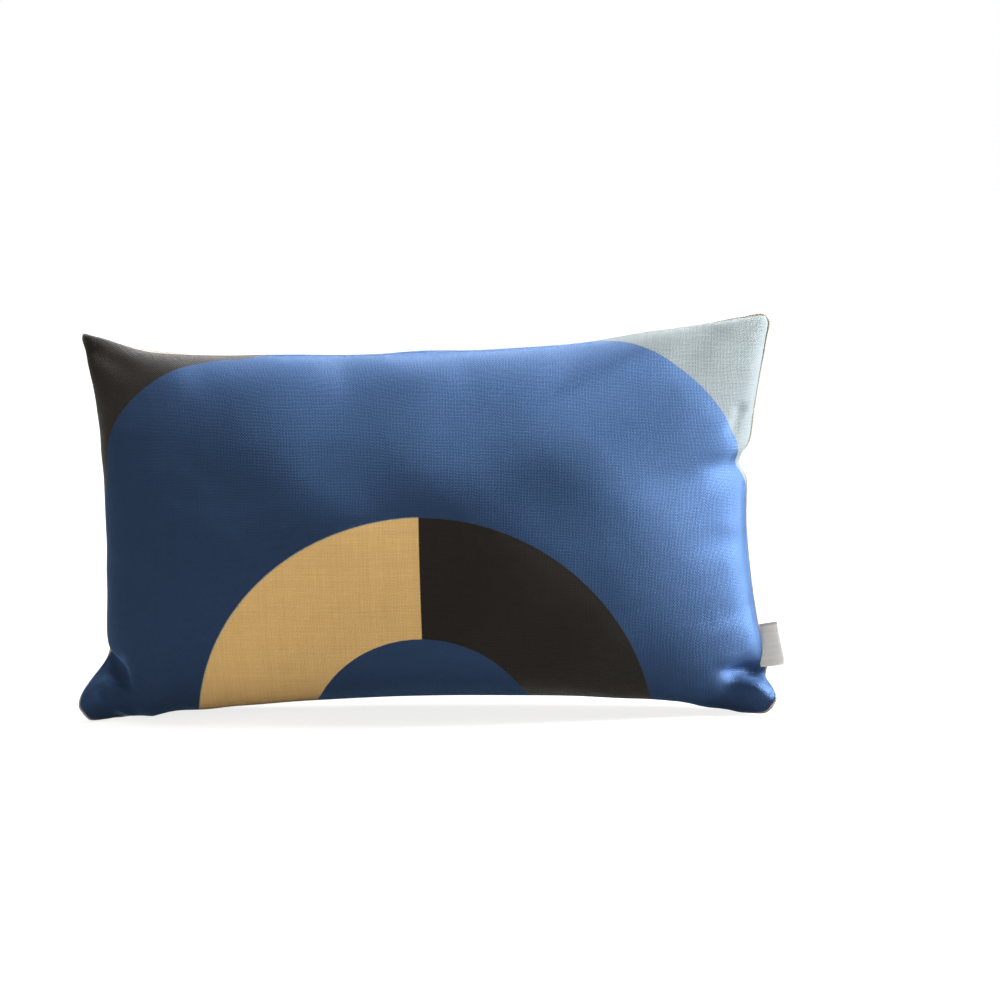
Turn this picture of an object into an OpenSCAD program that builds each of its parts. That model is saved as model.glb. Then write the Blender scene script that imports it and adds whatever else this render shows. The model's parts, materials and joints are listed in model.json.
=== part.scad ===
// Lumbar support cushion: a printed front panel and a plain back panel sewn into a cover,
// a concealed zip in the bottom seam, and a fibre filled insert inside.
// It stands on its long edge, leans back a little, and faces -Y. Millimetres, +Z up.

/* [Cushion] */
// Width of the filled cover, from ear to ear
cushion_w = 500; // [460:5:540]
// Height of the filled cover, from the bottom ears to the top ears
cushion_h = 282; // [262:2:300]
// Thickness at the middle
cushion_t = 120; // [108:2:132]
// Backward lean from upright, in degrees
lean = 7; // [5:0.5:9]
// How far each side seam pulls in between its ears
side_pull = 21; // [12:1:25]
// How far the top seam dips between its ears
top_dip = 22; // [12:1:25]
// Height of the bottom seam above the ground, between the bottom ears
seam_rise = 14; // [12:0.5:16]

/* [Fabric] */
// Thickness of the cover fabric
fabric_t = 1.0; // [0.8:0.1:1.2]
// Thickness of the insert's casing
casing_t = 0.5; // [0.4:0.1:0.6]
// Distance from the cover's seam to the insert's seam
insert_inset = 12; // [12:0.5:16]

/* [Zip] */
// Length of each coil
coil_len = 346; // [300:2:350]
// Width of each tape
tape_w = 8; // [6:0.5:8]
// Length of the pull tab, from its pin to its tip
pull_len = 17; // [14:1:20]

/* [Label] */
// Length of the side label along the seam
label_len = 30; // [20:1:36]
// How far the side label stands out from the seam
label_out = 14; // [10:1:16]

/* [Hidden] */
$fn = 48;

front = -1;
back = 1;

// Shape of the panels
pull_curve = 2.3;       // how evenly a seam curves in between two ears
side_round = 0.62;      // below 1 the panel stays full towards the side seams
front_round = 0.85;     // the same towards the top and bottom seams, in front
back_round = 0.66;      // and behind
seam_gap = 0.05;        // half the space between the two panels where they are sewn
zip_gap = 0.6;          // half the slot between the zip's two lips
zip_half = coil_len / 2 + 4;
base_mid = 20;          // the seam to the middle of the flat base, along Y
seam_y = -base_mid;
settled = 5;            // how close to the ground the settling stays
back_sag = 44;          // how far the fibre has settled, low down behind
front_sag = 4.5;         // and in front
cut_depth = 3;          // how far the unflattened base would reach under the ground
layer_gap = 0.5;        // space between a casing and what is round or inside it

// Grid of each panel
cover_cells = [36, 22];
insert_cells = [24, 16];

function smooth(v) = let (c = min(1, max(0, v))) c * c * (3 - 2 * c);

// Angle of grid line i of n, from -90 to 90 degrees, closer together at the seams.
function grid_angle(i, n) =
    let (v = 2 * i / n - 1) 90 * sign(v) * (1 - pow(1 - abs(v), 1.6));

// Share of a seam's pull in, 1 halfway between two ears and 0 at an ear.
function pulled(v) = 1 - pow(abs(v), pull_curve);

// How far past the zip a place on the bottom seam is, from 0 beside the zip to 1 at an ear.
function past_zip(s) =
    smooth((abs(s) * cushion_w / 2 - zip_half) / (cushion_w / 2 - zip_half));

function seam_half_w(t) = cushion_w / 2 - side_pull * pulled(t);
function seam_top(s) = cushion_h - top_dip * pulled(s);
function seam_bottom(s) = seam_rise * (1 - past_zip(s));
function lean_y(z) = seam_y + (z - seam_rise) * tan(lean);

// A place in the seam's plane, s across and t up, both from -1 to 1, when the seam is
// moved inwards by inset.
function plane_x(s, t, inset) = s * (seam_half_w(t) - inset);
function plane_z(s, t, inset) =
    (seam_top(s) + seam_bottom(s)) / 2
    + t * ((seam_top(s) - seam_bottom(s)) / 2 - inset);

// Half the space between the panels, wider beside the zip.
function half_gap(s, t) =
    t > -0.999 ? seam_gap
    : seam_gap + (zip_gap - seam_gap) * (1 - smooth((abs(s) * cushion_w / 2 - zip_half) / 6));

// The fibre settles towards the ground: n is the distance from the seam's plane, and
// hollow is how far from that plane the sag is half made, which leaves a groove at the seam.
function sag(side, n, t, a, hollow) =
    (side == back ? back_sag : front_sag) * (1 - exp(-pow(n / hollow, 4)))
    * pow((1 - t) / 2, settled) * pow(cos(a), 0.9);

// A point of one side of the cushion, at angles a across and b up. inset moves its seam
// inwards, slim makes it thinner, and it comes no lower than floor_z.
function skin(side, a, b, inset, slim, hollow, floor_z) =
    let (s = sin(a), t = sin(b),
         n = (cushion_t / 2 - slim) * pow(cos(a), side_round)
             * pow(cos(b), side == back ? back_round : front_round),
         z = max(floor_z, plane_z(s, t, inset) - sag(side, n, t, a, hollow)))
    [plane_x(s, t, inset), lean_y(z) + side * (half_gap(s, t) + n), z];

function skin_grid(side, cells, inset, slim, hollow, floor_z) =
    [for (j = [0:cells[1]]) for (i = [0:cells[0]])
        skin(side, grid_angle(i, cells[0]), grid_angle(j, cells[1]),
             inset, slim, hollow, floor_z)];

// Two triangles for each cell of a grid whose points start at first.
function grid_faces(cells, first, flip) =
    [for (j = [0:cells[1] - 1]) for (i = [0:cells[0] - 1])
        let (p = first + j * (cells[0] + 1) + i, q = p + cells[0] + 1)
        each flip ? [[p, p + 1, q], [p + 1, q + 1, q]] : [[p, q, p + 1], [p + 1, q, q + 1]]];

// The grid's own edge, once round.
function grid_edge(cells, first) =
    let (w = cells[0] + 1)
    [for (i = [0:cells[0] - 1]) first + i,
     for (j = [0:cells[1] - 1]) first + j * w + cells[0],
     for (i = [cells[0]:-1:1]) first + cells[1] * w + i,
     for (j = [cells[1]:-1:1]) first + j * w];

// Triangles that join two loops of the same length.
function strip(one, two, flip) =
    [for (i = [0:len(one) - 1])
        let (k = (i + 1) % len(one), p = one[i], q = one[k], r = two[i], s = two[k])
        each flip ? [[p, r, q], [q, r, s]] : [[p, q, r], [q, s, r]]];

// The same faces, in turn from the one halfway down the list.
function middle_first(faces) =
    let (n = len(faces), half = floor(n / 2) + floor(sqrt(n) / 2))
    [for (i = [0:n - 1]) faces[(i + half) % n]];

// A closed solid between two grids with the same cells.
module between_grids(grid_a, grid_b, cells, flip) {
    count = len(grid_a);
    polyhedron(
        points = concat(grid_a, grid_b),
        faces = concat(
            middle_first(grid_faces(cells, 0, flip)), grid_faces(cells, count, !flip),
            strip(grid_edge(cells, 0), grid_edge(cells, count), flip)));
}

// One fabric panel, from its outer to its inner surface.
module panel(side, cells, thickness, inset, slim, hollow, floor_z, inner_floor) {
    between_grids(
        skin_grid(side, cells, inset, slim, hollow, floor_z),
        skin_grid(side, cells, inset + thickness, slim + thickness, hollow, inner_floor),
        cells, side == back);
}

cover_hollow = 11;
insert_hollow = 16;
insert_slim = fabric_t + layer_gap;
insert_floor = fabric_t + layer_gap;
fibre_slim = insert_slim + casing_t + layer_gap;
fibre_floor = insert_floor + casing_t + layer_gap;

module cover_front() {
    color("#4a6690")
    panel(front, cover_cells, fabric_t, 0, 0, cover_hollow, 0, fabric_t);
}

// The ground flattens the back panel where the cushion sits on it.
module cover_back() {
    color("#e9e2d4")
    difference() {
        panel(back, cover_cells, fabric_t, 0, 0, cover_hollow, -cut_depth, fabric_t);
        translate([-cushion_w, -cushion_w, -2 * cut_depth])
            cube([2 * cushion_w, 2 * cushion_w, 2 * cut_depth]);
    }
}

// A flat ribbon in the seam's plane, along the seam, between two insets from it.
// Its stations run once round from one end of the zip to the other, or all the way.
function edge_point(q, inset) =
    let (z = plane_z(q[0], q[1], inset))
    [plane_x(q[0], q[1], inset), lean_y(z), z];

function edge_stations(first_s, steps) =
    [for (i = [0:steps]) [first_s + (1 - first_s) * i / steps, -1],
     for (i = [1:steps]) [1, -1 + 2 * i / steps],
     for (i = [1:2 * steps]) [1 - 2 * i / (2 * steps), 1],
     for (i = [1:steps]) [-1, 1 - 2 * i / steps],
     for (i = [1:steps]) [-1 + (1 - first_s) * i / steps, -1]];

module seam_ribbon(stations, inset, width, thickness) {
    half = [0, thickness / 2, 0];
    points = [for (q = stations)
        let (o = edge_point(q, inset), i = edge_point(q, inset + width))
        each [o - half, o + half, i + half, i - half]];
    last = 4 * (len(stations) - 1);
    polyhedron(
        points = points,
        faces = concat(
            [[0, 1, 2], [0, 2, 3]],
            [[last, last + 2, last + 1], [last, last + 3, last + 2]],
            [for (k = [0:len(stations) - 2]) for (e = [0:3])
                let (p = 4 * k + e, q = 4 * k + (e + 1) % 4)
                each [[p, p + 4, q], [q, p + 4, q + 4]]]));
}

module cover_seam_overlock() {
    color("#d8d2c4")
    seam_ribbon(edge_stations((zip_half + 8) / (cushion_w / 2), 10), 1.6, 5.6, 1.0);
}

module insert_seam_overlock() {
    color("#f4f4f2")
    seam_ribbon(edge_stations(0.02, 10), 8.2, 2.6, 1.0);
}

module insert_casing_front() {
    color("#f7f6f2")
    panel(front, insert_cells, casing_t, insert_inset, insert_slim, insert_hollow,
          insert_floor, insert_floor + casing_t);
}

module insert_casing_back() {
    color("#f1f0ec")
    panel(back, insert_cells, casing_t, insert_inset, insert_slim, insert_hollow,
          insert_floor, insert_floor + casing_t);
}

module fibre_filling() {
    inset = insert_inset + casing_t + layer_gap;
    color("#ffffff")
    between_grids(
        skin_grid(front, insert_cells, inset, fibre_slim, insert_hollow, fibre_floor),
        skin_grid(back, insert_cells, inset, fibre_slim, insert_hollow, fibre_floor),
        insert_cells, false);
}

// Zip. Everything is measured from the bottom seam's line: y across it, z up into the cushion.
tape_t = 0.5;
tape_z = fabric_t + 0.2;
coil_z = tape_z + tape_t;
coil_h = 1.8;
coil_w = 2.2;
coil_in = 0.65;             // coil's near edge to the seam's line
run_clear = 0.35;           // slider to what it runs past
slider_len = 9;
slider_wall = 0.8;
neck_t = 0.6;
slider_half_w = coil_in + coil_w + run_clear + slider_wall;
slider_top = coil_z + coil_h + run_clear + slider_wall;
stop_len = 2.5;
slider_x = -coil_len / 2 + slider_len / 2 + 1.5;    // closed
crown_t = 2.0;
pin_z = -2.9;
pin_d = 1.2;
pin_clear = 0.05;
eye_r = 1.45;
arm_t = 0.8;
arm_gap = 0.3;
pull_t = 1.2;
tab_w = 4.6;

module at_seam() {
    translate([0, seam_y, seam_rise]) children();
}

module bar(x0, x1, y0, y1, z0, z1) {
    translate([x0, min(y0, y1), z0]) cube([x1 - x0, abs(y1 - y0), z1 - z0]);
}

module zip_tape(side) {
    tape_half = zip_half - 1;
    at_seam()
        bar(-tape_half, tape_half, side * 0.9, side * (0.9 + tape_w), tape_z, tape_z + tape_t);
}

module zip_tape_front() { color("#e4ded2") zip_tape(front); }
module zip_tape_back() { color("#e4ded2") zip_tape(back); }

// The row of nylon loops as one rounded bar along the tape's edge.
module zip_coil(side) {
    at_seam()
    translate([-coil_len / 2, side * (coil_in + coil_w / 2), coil_z])
    rotate([90, 0, 90])
    linear_extrude(coil_len)
    intersection() {
        translate([-coil_w / 2, 0]) square([coil_w, coil_h]);
        translate([0, coil_h / 2 - 0.25]) circle(r = 1.3);
    }
}

module zip_coil_front() { color("#efeae0") zip_coil(front); }
module zip_coil_back() { color("#efeae0") zip_coil(back); }

// A crimped clip past the closed end of each coil.
module zip_top_stops() {
    color("#c9c9c6")
    at_seam()
    for (side = [front, back])
        bar(-coil_len / 2 - stop_len, -coil_len / 2, side * coil_in,
            side * (coil_in + coil_w), coil_z, coil_z + coil_h);
}

// One clip across both coils at the open end.
module zip_bottom_stop() {
    color("#c9c9c6")
    at_seam()
    bar(coil_len / 2, coil_len / 2 + stop_len, -coil_in - coil_w,
        coil_in + coil_w, coil_z, coil_z + coil_h);
}

// A channel round each coil inside the cover, a thin neck through the slot,
// and outside it a crown with the hole for the pull's pin.
module zip_slider() {
    channel_w = coil_in + coil_w + run_clear - neck_t / 2;
    channel_z = coil_z + coil_h + run_clear;
    color("#d9d6cf")
    at_seam()
    translate([slider_x, 0, 0])
    difference() {
        union() {
            difference() {
                bar(-slider_len / 2, slider_len / 2, -slider_half_w, slider_half_w,
                    coil_z + run_clear, slider_top);
                for (side = [front, back])
                    bar(-slider_len, slider_len, side * neck_t / 2,
                        side * (neck_t / 2 + channel_w), 0, channel_z);
            }
            bar(-slider_len / 2 + 1, slider_len / 2 - 1, -neck_t / 2, neck_t / 2,
                -0.8, slider_top - slider_wall / 2);
            hull() {
                bar(-2.6, 2.6, -crown_t / 2, crown_t / 2, -0.8, -0.5);
                translate([0, crown_t / 2, pin_z])
                    rotate([90, 0, 0]) cylinder(r = eye_r, h = crown_t);
            }
        }
        translate([0, crown_t, pin_z])
            rotate([90, 0, 0]) cylinder(d = pin_d + 2 * pin_clear, h = 2 * crown_t);
    }
}

// A pin through the crown between two arms, and a round ended tab that lies along the seam.
module zip_pull() {
    arm_in = crown_t / 2 + arm_gap;
    arm_end = 5;
    tab_r = tab_w / 2;
    color("#d9d6cf")
    at_seam()
    translate([slider_x, 0, pin_z]) {
        rotate([90, 0, 0])
            translate([0, 0, -arm_in - arm_t]) cylinder(d = pin_d, h = 2 * (arm_in + arm_t));
        for (side = [front, back]) {
            translate([0, side > 0 ? arm_in + arm_t : -arm_in, 0])
                rotate([90, 0, 0]) cylinder(r = eye_r - 0.2, h = arm_t);
            bar(0, arm_end, side * arm_in, side * (arm_in + arm_t), -pull_t / 2, pull_t / 2);
        }
        translate([0, 0, -pull_t / 2])
        linear_extrude(pull_t)
        difference() {
            union() {
                translate([3.6, -tab_r]) square([pull_len - tab_r - 3.6, tab_w]);
                translate([pull_len - tab_r, 0]) circle(r = tab_r);
            }
            translate([pull_len - tab_r, 0]) circle(r = 1.1);
        }
    }
}

// Labels. The side label is a ribbon folded double, sewn into the seam near the bottom ear.
label_mid_z = 46;
label_t = 0.7;
ribbon_t = 0.3;

function side_t(z) = (z - cushion_h / 2) / (cushion_h / 2);
function seam_x(z) = seam_half_w(side_t(z));

module side_label() {
    rise = label_len / 2;
    slope = atan((seam_x(label_mid_z - rise) - seam_x(label_mid_z + rise)) / label_len);
    color("#f2f2f0")
    translate([seam_x(label_mid_z) + 0.6, lean_y(label_mid_z), label_mid_z])
    rotate([-lean, 0, 0])
    rotate([0, -slope, 0])
    translate([0, 0, -rise])
    linear_extrude(label_len)
    difference() {
        union() {
            translate([0, -label_t / 2]) square([label_out - label_t / 2, label_t]);
            translate([label_out - label_t / 2, 0]) circle(d = label_t);
        }
        translate([-1, -label_t / 2 + ribbon_t])
            square([label_out - label_t / 2, label_t - 2 * ribbon_t]);
    }
}

// A small tag sewn into the left seam, inside the cover.
module care_label() {
    tag = [8, 0.3, 22];
    tag_z = 130;
    color("#fbfbf8")
    translate([-seam_x(tag_z) + 2.6, lean_y(tag_z) + 1.2, tag_z - tag[2] / 2])
    rotate([-lean, 0, 0])
        cube(tag);
}

cover_front();
cover_back();
cover_seam_overlock();
zip_tape_front();
zip_tape_back();
zip_coil_front();
zip_coil_back();
zip_top_stops();
zip_bottom_stop();
zip_slider();
zip_pull();
side_label();
care_label();
insert_casing_front();
insert_casing_back();
insert_seam_overlock();
fibre_filling();
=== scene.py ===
import json
import math

import bpy
import numpy as np
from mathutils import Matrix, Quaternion, Vector
from mathutils.bvhtree import BVHTree

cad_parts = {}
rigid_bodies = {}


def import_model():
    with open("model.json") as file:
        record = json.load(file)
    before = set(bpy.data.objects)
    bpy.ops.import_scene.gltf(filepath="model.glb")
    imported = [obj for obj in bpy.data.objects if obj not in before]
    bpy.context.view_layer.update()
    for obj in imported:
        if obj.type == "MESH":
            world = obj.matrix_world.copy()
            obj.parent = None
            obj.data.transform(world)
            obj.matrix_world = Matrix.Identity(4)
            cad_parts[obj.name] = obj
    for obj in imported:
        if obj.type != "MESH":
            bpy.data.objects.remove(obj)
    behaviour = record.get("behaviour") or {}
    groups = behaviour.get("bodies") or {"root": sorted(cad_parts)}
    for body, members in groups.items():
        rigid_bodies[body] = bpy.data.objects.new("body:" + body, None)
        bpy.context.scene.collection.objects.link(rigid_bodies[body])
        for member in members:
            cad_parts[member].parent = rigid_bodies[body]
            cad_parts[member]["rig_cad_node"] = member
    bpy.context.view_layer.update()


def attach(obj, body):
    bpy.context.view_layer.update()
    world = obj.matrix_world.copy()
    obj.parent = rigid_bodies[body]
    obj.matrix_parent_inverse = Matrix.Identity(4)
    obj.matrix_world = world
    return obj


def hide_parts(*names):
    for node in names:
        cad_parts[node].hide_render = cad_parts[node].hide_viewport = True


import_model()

MM = 0.001

# ---------------------------------------------------------------- the cushion's form (mm)
WIDTH, HEIGHT, HALF_T = 500.0, 282.0, 60.0
LEAN = math.tan(math.radians(7))
SIDE_PULL, SEAM_RISE, PULL_CURVE = 21.0, 14.0, 2.3
SIDE_ROUND, FRONT_ROUND, BACK_ROUND = 0.62, 0.85, 0.66
SEAM_Y = -20.0
ZIP_HALF, ZIP_GAP, SEAM_GAP = 177.0, 0.6, 0.05
PANEL_W, PANEL_H, CORNER_R = 508.0, 305.0, 9.0
GROUND = -2.5        # the form reaches a little under the floor; the cloth is then laid on it
ARCH_RISE = 11.0
FRONT, BACK = 0, 1
SIGN = (-1.0, 1.0)


def smooth(v):
    c = np.clip(v, 0.0, 1.0)
    return c * c * (3 - 2 * c)


def bump(v, centre, width):
    return np.exp(-(((v - centre) / width) ** 2))


def pulled(v):
    return 1 - np.abs(v) ** PULL_CURVE


def arched(x):
    """1 under the middle of the cushion, 0 at its two feet."""
    return smooth((190 + x) / 110) * smooth((215 - x) / 65)


def from_line(x, z, one, two):
    """How far along the line from one to two a point lies (0 to 1), and how far away from it."""
    dx, dz = two[0] - one[0], two[1] - one[1]
    along = np.clip(((x - one[0]) * dx + (z - one[1]) * dz) / (dx * dx + dz * dz), 0, 1)
    return along, np.hypot(x - one[0] - along * dx, z - one[1] - along * dz)


def half_width(s, t):
    """From the middle to a side seam: the left and the right seam pull in differently."""
    up, down = np.clip(t, 0, 1), np.clip(-t, 0, 1)
    left = 23.5 * (1 - up ** 1.8) * smooth((t + 0.92) / 0.26) + 4.5 * bump(t, 0.66, 0.24)
    right = 21.5 * (1 - np.abs(t) ** 1.7)
    at_left, at_right = smooth((-s - 0.45) / 0.55), smooth((s - 0.45) / 0.55)
    evenly = SIDE_PULL * pulled(t)
    pull = evenly + at_left * (left - evenly) + at_right * (right - evenly)
    edge = smooth((s - 0.80) / 0.20)
    pull = pull + edge * (9.0 * bump(t, 0.265, 0.05) + 2.5 * bump(t, -0.84, 0.03)
                          - 3.5 * bump(t, -0.93, 0.06))
    return WIDTH / 2 - pull


def seam_top(s):
    left, right = np.clip(-s, 0, 1), np.clip(s, 0, 1)
    dip = (1 - left ** 6 - right ** 2) * (21.0 + 3.5 * left)
    wave = 0.9 * np.sin(s * 11.0 + 0.6) + 0.6 * np.sin(s * 19.0 + 2.0)
    return HEIGHT - 4.0 * left ** 3 - 1.12 * dip - 1.5 * (1 - s ** 4) + wave * (1 - s ** 4)


def seam_bottom(s):
    return SEAM_RISE * (1 - smooth((np.abs(s) * WIDTH / 2 - ZIP_HALF) / (WIDTH / 2 - ZIP_HALF)))


def lean_y(z):
    return SEAM_Y + (z - SEAM_RISE) * LEAN


# Folds in the stuffed form: side, ends (x, z), half width, and how far it stands out.
FOLDS = (
    (FRONT, (232, 172), (206, 166), 6.0, -5.0),
    (FRONT, (230, 190), (238, 226), 6.0, -3.0),
    (FRONT, (250, 24), (214, 31), 5.0, -9.0),
    (FRONT, (246, 13), (222, 20), 6.0, 3.5),
    (FRONT, (-236, 16), (-200, 2), 5.0, -5.0),
    (FRONT, (-240, 25), (-216, 15), 5.0, 2.5),
    (FRONT, (-222, 34), (-214, 24), 10.0, -5.0),
    (FRONT, (-238, 262), (-205, 246), 6.0, -2.5),
    (FRONT, (-165, 262), (-150, 235), 9.0, -1.6),
    (FRONT, (-60, 262), (-48, 232), 10.0, -1.8),
    (FRONT, (28, 262), (34, 236), 9.0, -1.4),
    (FRONT, (110, 264), (96, 236), 10.0, -1.8),
    (FRONT, (205, 268), (176, 240), 9.0, -2.2),
    (FRONT, (-228, 110), (-196, 104), 9.0, -1.6),
    (FRONT, (-228, 190), (-190, 196), 10.0, -1.6),
    (FRONT, (228, 120), (196, 126), 8.0, -2.0),
    (FRONT, (234, 76), (204, 70), 8.0, -1.6),
    (BACK, (232, 172), (200, 160), 7.0, -5.0),
    (BACK, (-228, 60), (-190, 75), 9.0, -4.0),
    (BACK, (-228, 180), (-185, 190), 9.0, -3.0),
    (BACK, (-90, 262), (-70, 225), 10.0, -3.0),
    (BACK, (60, 262), (80, 225), 10.0, -3.0),
    (BACK, (180, 268), (150, 225), 10.0, -3.0),
    (BACK, (240, 30), (205, 45), 7.0, -6.0),
    (BACK, (-242, 30), (-205, 45), 7.0, -6.0),
    (BACK, (226, 100), (190, 95), 9.0, -3.0),
)


def folds(x, z, side):
    out = 1.1 * np.sin(x / 37.0 + 1.7 * np.sin(z / 53.0)) * np.sin(z / 29.0 + 0.7 + x / 120.0)
    out = out + 0.5 * np.sin(x / 17.0 + 2.2 * np.sin(z / 31.0 + 1.0) + side * 2.0)
    for where, one, two, wide, depth in FOLDS:
        if where != side:
            continue
        along, away = from_line(x, z, one, two)
        out = out + depth * np.exp(-((away / wide) ** 2)) * (1 - 0.75 * along ** 2)
    return out


def fill_form(side, a, b, inset=0.0, slim=0.0, hollow=(11.0, 25.0), ground=GROUND):
    """The stuffed cushion at angles a across and b up; inset and slim give a smaller form."""
    s, t = np.sin(a), np.sin(b)
    ca, cb = np.cos(a), np.cos(b)
    top, low = seam_top(s), seam_bottom(s)
    z = (top + low) / 2 + t * ((top - low) / 2 - inset)
    x = s * (half_width(s, t) - inset)
    corner = np.hypot(WIDTH / 2 - np.abs(x), (1 - np.abs(t)) * HEIGHT / 2)
    thin = 0.5 + 0.5 * smooth(corner / 85.0)
    # The front leaves its side seams at a slant, the back more squarely.
    side_round = SIDE_ROUND if side else 0.90 + 0.22 * s
    full = HALF_T if side else HALF_T + 2.0
    n = (full - slim) * ca ** side_round * cb ** (BACK_ROUND if side else FRONT_ROUND) * thin
    n = np.maximum(n + folds(x, z, side) * smooth(n / 6.0), 0.0)
    # The middle of the underside arches between the two feet.
    ground = ground + ARCH_RISE * arched(x)
    amount = 44.0 if side else 2.5 + 26.0 * bump(s, -0.80, 0.13) + 13.0 * bump(s, 0.84, 0.14)
    sag = amount * (1 - np.exp(-((n / hollow[side]) ** 4)))
    z = np.maximum(z - sag * ((1 - t) / 2) ** 5 * ca ** 0.9, ground)
    beside_zip = 1 - smooth((np.abs(s) * WIDTH / 2 - ZIP_HALF) / 6)
    gap = np.where(t < -0.999, SEAM_GAP + (ZIP_GAP - SEAM_GAP) * beside_zip, SEAM_GAP)
    return bend_ears(np.stack([x, lean_y(z) + SIGN[side] * (gap + n), z], -1))


# Each bent corner: middle, reach, and how far its tip moves.
EARS = (
    ((-250.0, 0.0), 50.0, (1.0, -21.0, 6.0)),
    ((250.0, 0.0), 42.0, (-2.0, -20.0, 7.0)),
    ((-250.0, 278.0), 60.0, (3.0, -6.0, 0.0)),
    ((250.0, 282.0), 60.0, (0.0, 6.0, 0.0)),
)


def bend_ears(p):
    out = p.copy()
    for (x, z), reach, move in EARS:
        far = np.hypot(p[..., 0] - x, p[..., 2] - z)
        share = (1 - smooth(far / reach)) ** 1.2
        out += share[..., None] * np.array(move)
    return out


# ---------------------------------------------------------------- cloth
DAMP, PASSES = 0.9, 2
STRETCH, SQUEEZE, SHEAR = 0.9, 0.35, 0.12    # how firmly a thread keeps its length
BAND = 3.0                                   # how far the cloth may leave the form (mm)


def even_angles(count, profile):
    """Angles that divide a profile of the form into equal lengths of cloth."""
    fine = np.linspace(-math.pi / 2, math.pi / 2, 1601)
    pts = profile(fine)
    length = np.concatenate([[0], np.cumsum(np.linalg.norm(np.diff(pts, axis=0), axis=1))])
    return np.interp(np.linspace(0, length[-1], count + 1), length, fine)


def flat_pattern(nu, nv):
    """The panel as cut, with its corners rounded: x across and z up, from its middle."""
    u, v = np.meshgrid(np.linspace(-1, 1, nu + 1), np.linspace(-1, 1, nv + 1))
    x, z = u * PANEL_W / 2, v * PANEL_H / 2
    cx, cz = PANEL_W / 2 - CORNER_R, PANEL_H / 2 - CORNER_R
    qx, qz = np.maximum(np.abs(x) - cx, 0) / CORNER_R, np.maximum(np.abs(z) - cz, 0) / CORNER_R
    rx, rz = qx * np.sqrt(1 - qz * qz / 2), qz * np.sqrt(1 - qx * qx / 2)
    x = np.where(qx > 0, np.sign(x) * (cx + CORNER_R * rx), x)
    z = np.where(qz > 0, np.sign(z) * (cz + CORNER_R * rz), z)
    return np.stack([x, z], -1)


def start_form(nu, nv):
    """Both panels laid over the form, evenly spread."""
    out = []
    flat = flat_pattern(nu, nv)
    u, v = flat[..., 0] / (PANEL_W / 2), flat[..., 1] / (PANEL_H / 2)
    edge_v, edge_u = np.abs(v) ** 6, np.abs(u) ** 6
    for side in (FRONT, BACK):
        a = even_angles(nu, lambda f: fill_form(side, f, f * 0))
        b = even_angles(nv, lambda f: fill_form(side, f * 0, f))
        s = np.interp(u, np.linspace(-1, 1, nu + 1), np.sin(a))
        t = np.interp(v, np.linspace(-1, 1, nv + 1), np.sin(b))
        s = s * (1 - edge_v) + u * edge_v
        t = t * (1 - edge_u) + v * edge_u
        out.append(fill_form(side, np.arcsin(np.clip(s, -1, 1)), np.arcsin(np.clip(t, -1, 1))))
    out = np.stack(out)
    rim = np.zeros(u.shape, bool)
    rim[0] = rim[-1] = True
    rim[:, 0] = rim[:, -1] = True
    out[:, rim] = out[:, rim].mean(0)
    return out


def crowded_to_ends(count):
    """Angles from edge to edge of the form, closer together at the edges."""
    v = np.linspace(-1, 1, count)
    return np.pi / 2 * np.sign(v) * (1 - (1 - np.abs(v)) ** 1.6)


def form_tree(side):
    """The form as triangles, for finding how far the cloth stands off it."""
    nu, nv = 200, 140
    a, b = np.meshgrid(crowded_to_ends(nu + 1), crowded_to_ends(nv + 1))
    pts = fill_form(side, a, b).reshape(-1, 3)
    w = nu + 1
    quads = [(j * w + i, j * w + i + 1, (j + 1) * w + i + 1, (j + 1) * w + i)
             for j in range(nv) for i in range(nu)]
    if side == BACK:
        quads = [q[::-1] for q in quads]
    return BVHTree.FromPolygons([tuple(p) for p in pts], quads)


def normals(p):
    """Outward normals of both panels."""
    du, dv = np.empty_like(p), np.empty_like(p)
    du[:, :, 1:-1] = p[:, :, 2:] - p[:, :, :-2]
    du[:, :, 0], du[:, :, -1] = p[:, :, 1] - p[:, :, 0], p[:, :, -1] - p[:, :, -2]
    dv[:, 1:-1] = p[:, 2:] - p[:, :-2]
    dv[:, 0], dv[:, -1] = p[:, 1] - p[:, 0], p[:, -1] - p[:, -2]
    n = np.cross(du, dv)
    n[BACK] *= -1
    return n / np.maximum(np.linalg.norm(n, axis=-1, keepdims=True), 1e-9)


def length_slices(nu, nv):
    """Pairs of grid slices joined by one thread, in groups that share no point."""
    s = slice
    out = []
    every = s(None)
    for k in (0, 1):
        out.append(("warp", (every, every, s(k, nu, 2)), (every, every, s(k + 1, nu + 1, 2))))
        out.append(("weft", (every, s(k, nv, 2)), (every, s(k + 1, nv + 1, 2))))
    for k in (0, 1):
        lo, hi = s(k, nu, 2), s(k + 1, nu + 1, 2)
        out.append(("shear", (every, s(0, nv), lo), (every, s(1, nv + 1), hi)))
        out.append(("shear", (every, s(0, nv), hi), (every, s(1, nv + 1), lo)))
    return out


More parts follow.
